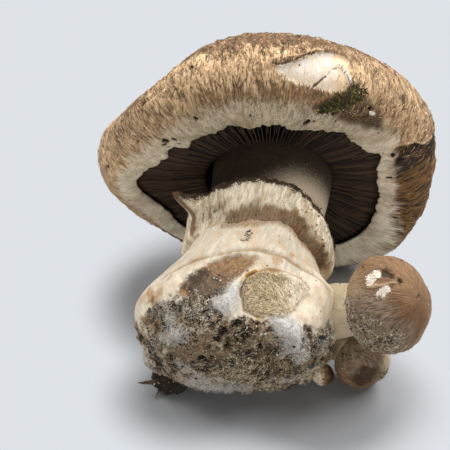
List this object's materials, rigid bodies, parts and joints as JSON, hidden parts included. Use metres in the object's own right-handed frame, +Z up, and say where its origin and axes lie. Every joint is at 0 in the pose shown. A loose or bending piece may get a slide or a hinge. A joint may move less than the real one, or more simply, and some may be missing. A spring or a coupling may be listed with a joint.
{
  "type": "portobello mushroom",
  "caption": "Grown portobello mushroom lying on its side, with open gills, a torn ring, a soil-crusted foot and young mushrooms grown onto it.",
  "frame": {"origin": "on the table, under the middle of the box round the whole cluster", "axes": "+Z up from the table, +Y from the foot of the stem towards the cap, +X to the right of the stem seen from the foot"},
  "size_m": [0.1014, 0.1018, 0.0923],
  "materials": {
    "cap_skin": "matt brown skin with fine radial fibres",
    "gills": "dull, very dark brown",
    "stem_flesh": "matt cream flesh",
    "ring_veil": "matt cream, fibrous",
    "button_skin": "matt brown skin dusted with soil",
    "soil": "crumbly grey-brown compost",
    "moss": "dark green tuft"
  },
  "bodies": {
    "root": {"cap": "cap_skin", "gills": "gills", "stem": "stem_flesh", "ring": "ring_veil", "large_button": "button_skin", "small_button": "button_skin", "pinhead": "button_skin", "soil_clod": "soil", "soil_crust": "soil", "moss_tuft": "moss"}
  },
  "joints": []
}
